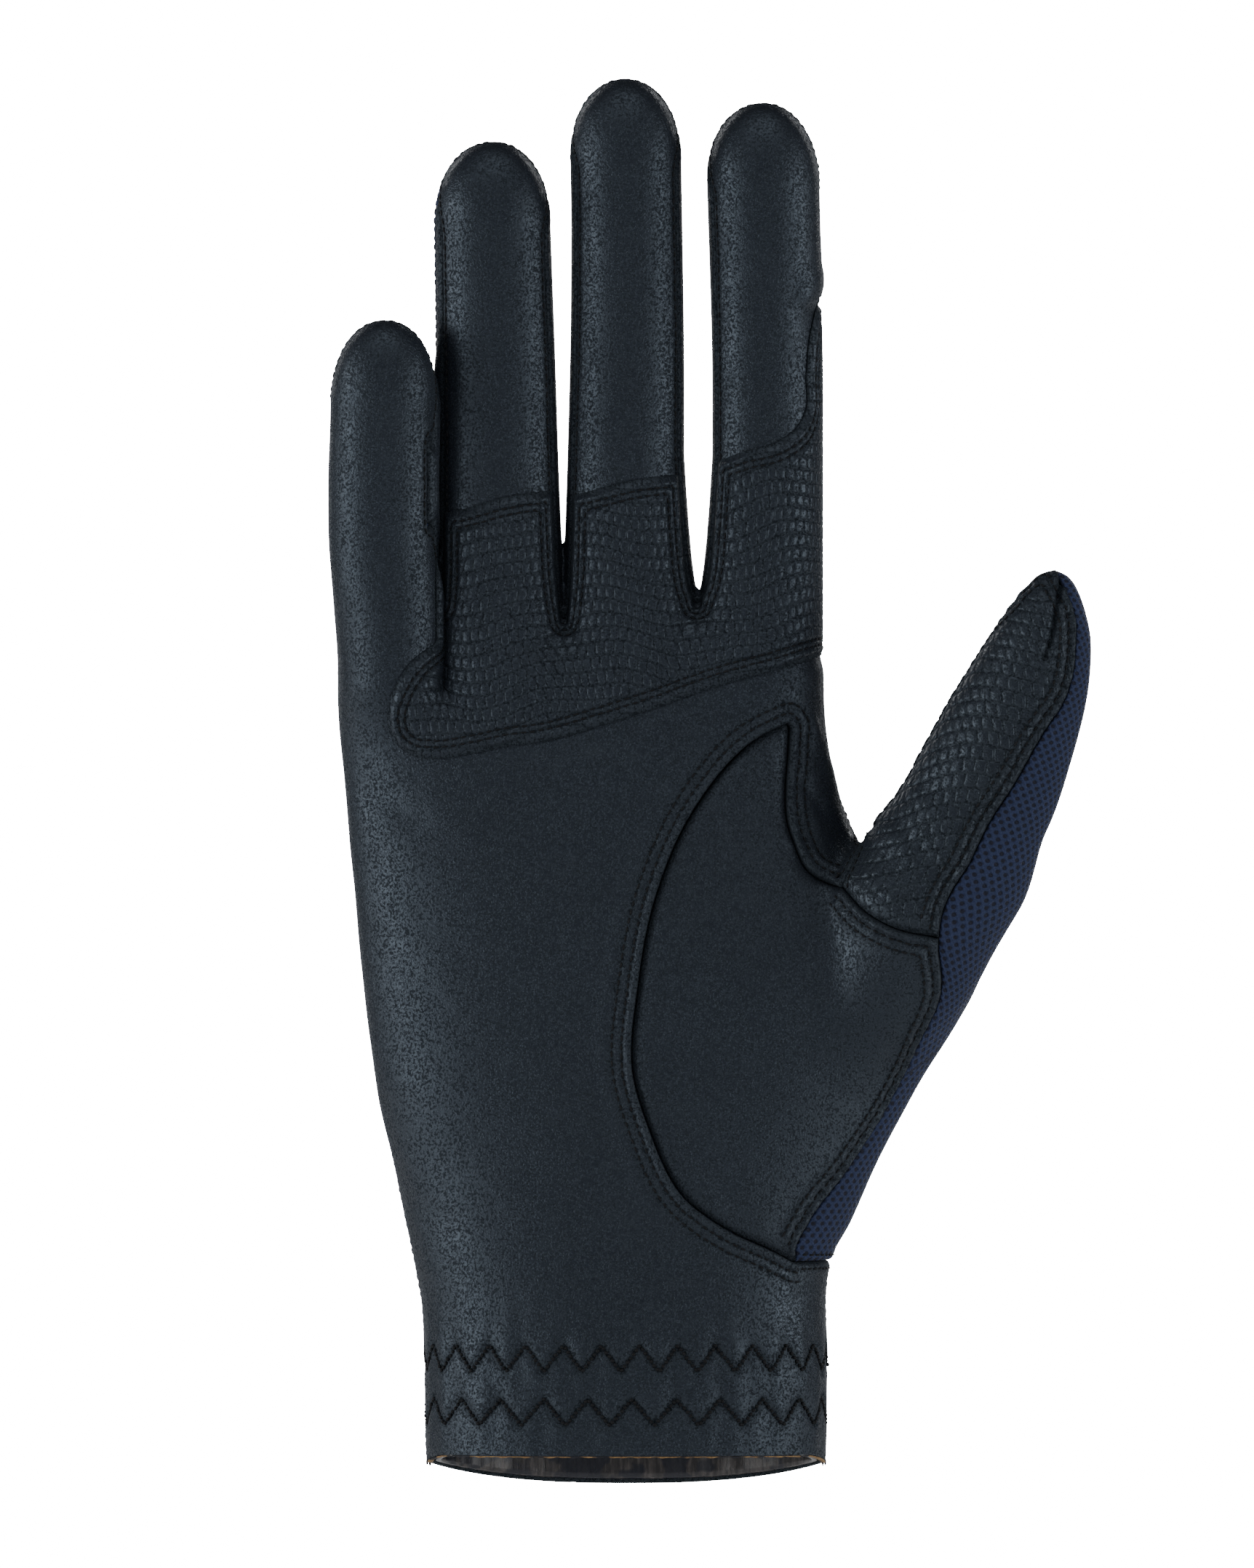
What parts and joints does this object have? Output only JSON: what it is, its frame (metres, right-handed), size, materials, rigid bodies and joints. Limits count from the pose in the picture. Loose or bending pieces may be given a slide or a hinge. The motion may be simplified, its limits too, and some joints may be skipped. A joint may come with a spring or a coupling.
{
  "type": "horse riding glove",
  "caption": "Right-hand riding glove, shaped as worn and open at the wrist, in dark leather with embossed grip panels and a mesh back.",
  "frame": {"origin": "middle of the wrist opening, on the level of the lowest point of the hem", "axes": "+Z from the wrist to the fingertips, +Y out of the back of the hand, +X towards the thumb"},
  "size_m": [0.1279, 0.0413, 0.2362],
  "materials": {
    "leather": "semi-matte soft-grained dark navy leather",
    "grip_leather": "embossed scale-pattern grip leather, slightly glossy",
    "knit_mesh": "matte navy knit mesh with small staggered holes",
    "facing": "smooth greyish-brown facing inside the hem"
  },
  "bodies": {
    "root": {"palm_panel": "leather", "thumb_base_panel": "leather", "thumb_grip_panel": "grip_leather", "back_panel": "knit_mesh", "cuff_back_panel": "leather", "fourchette_little_ring": "leather", "fourchette_ring_middle": "leather", "fourchette_middle_index": "leather", "palm_grip_patch": "grip_leather", "hem_facing": "facing"}
  },
  "joints": []
}
